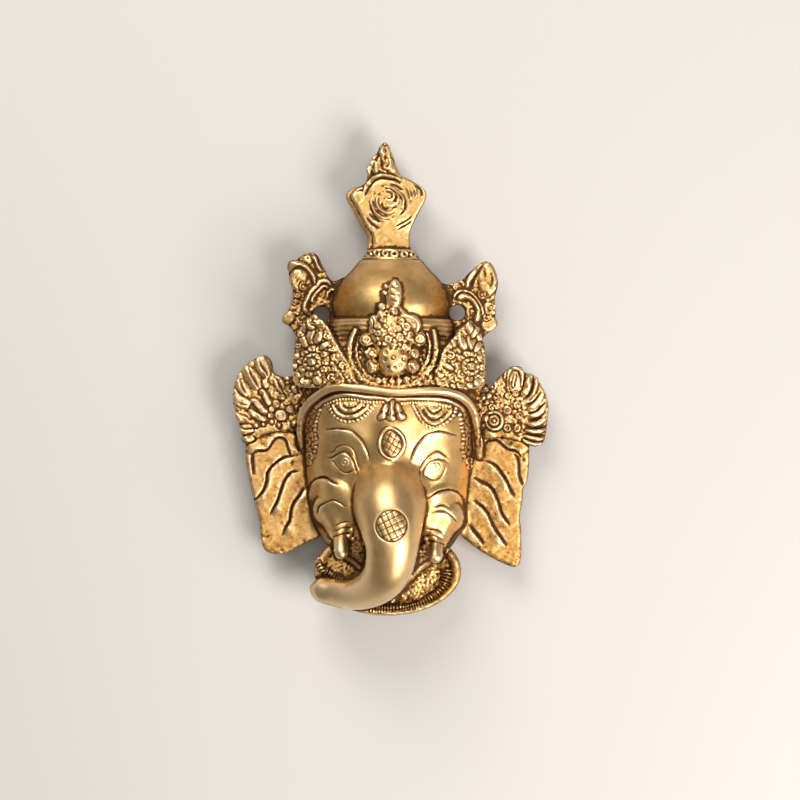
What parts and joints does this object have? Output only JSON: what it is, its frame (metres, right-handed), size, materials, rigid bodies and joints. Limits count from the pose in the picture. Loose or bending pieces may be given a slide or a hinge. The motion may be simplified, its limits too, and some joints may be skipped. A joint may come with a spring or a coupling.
{
  "type": "ganesha mask",
  "caption": "Cast brass wall mask of an elephant head under a tall domed crown with a spade finial, hollow and open at the back.",
  "frame": {"origin": "middle of the mask's footprint, on the plane of its back rim", "axes": "+X to the right and +Y towards the crown's tip as one looks at the face, +Z out of the face"},
  "size_m": [0.127, 0.1898, 0.0577],
  "materials": {
    "brass": "rubbed satin brass with dark patina in the recesses"
  },
  "bodies": {
    "root": {"mask": "brass"}
  },
  "joints": []
}
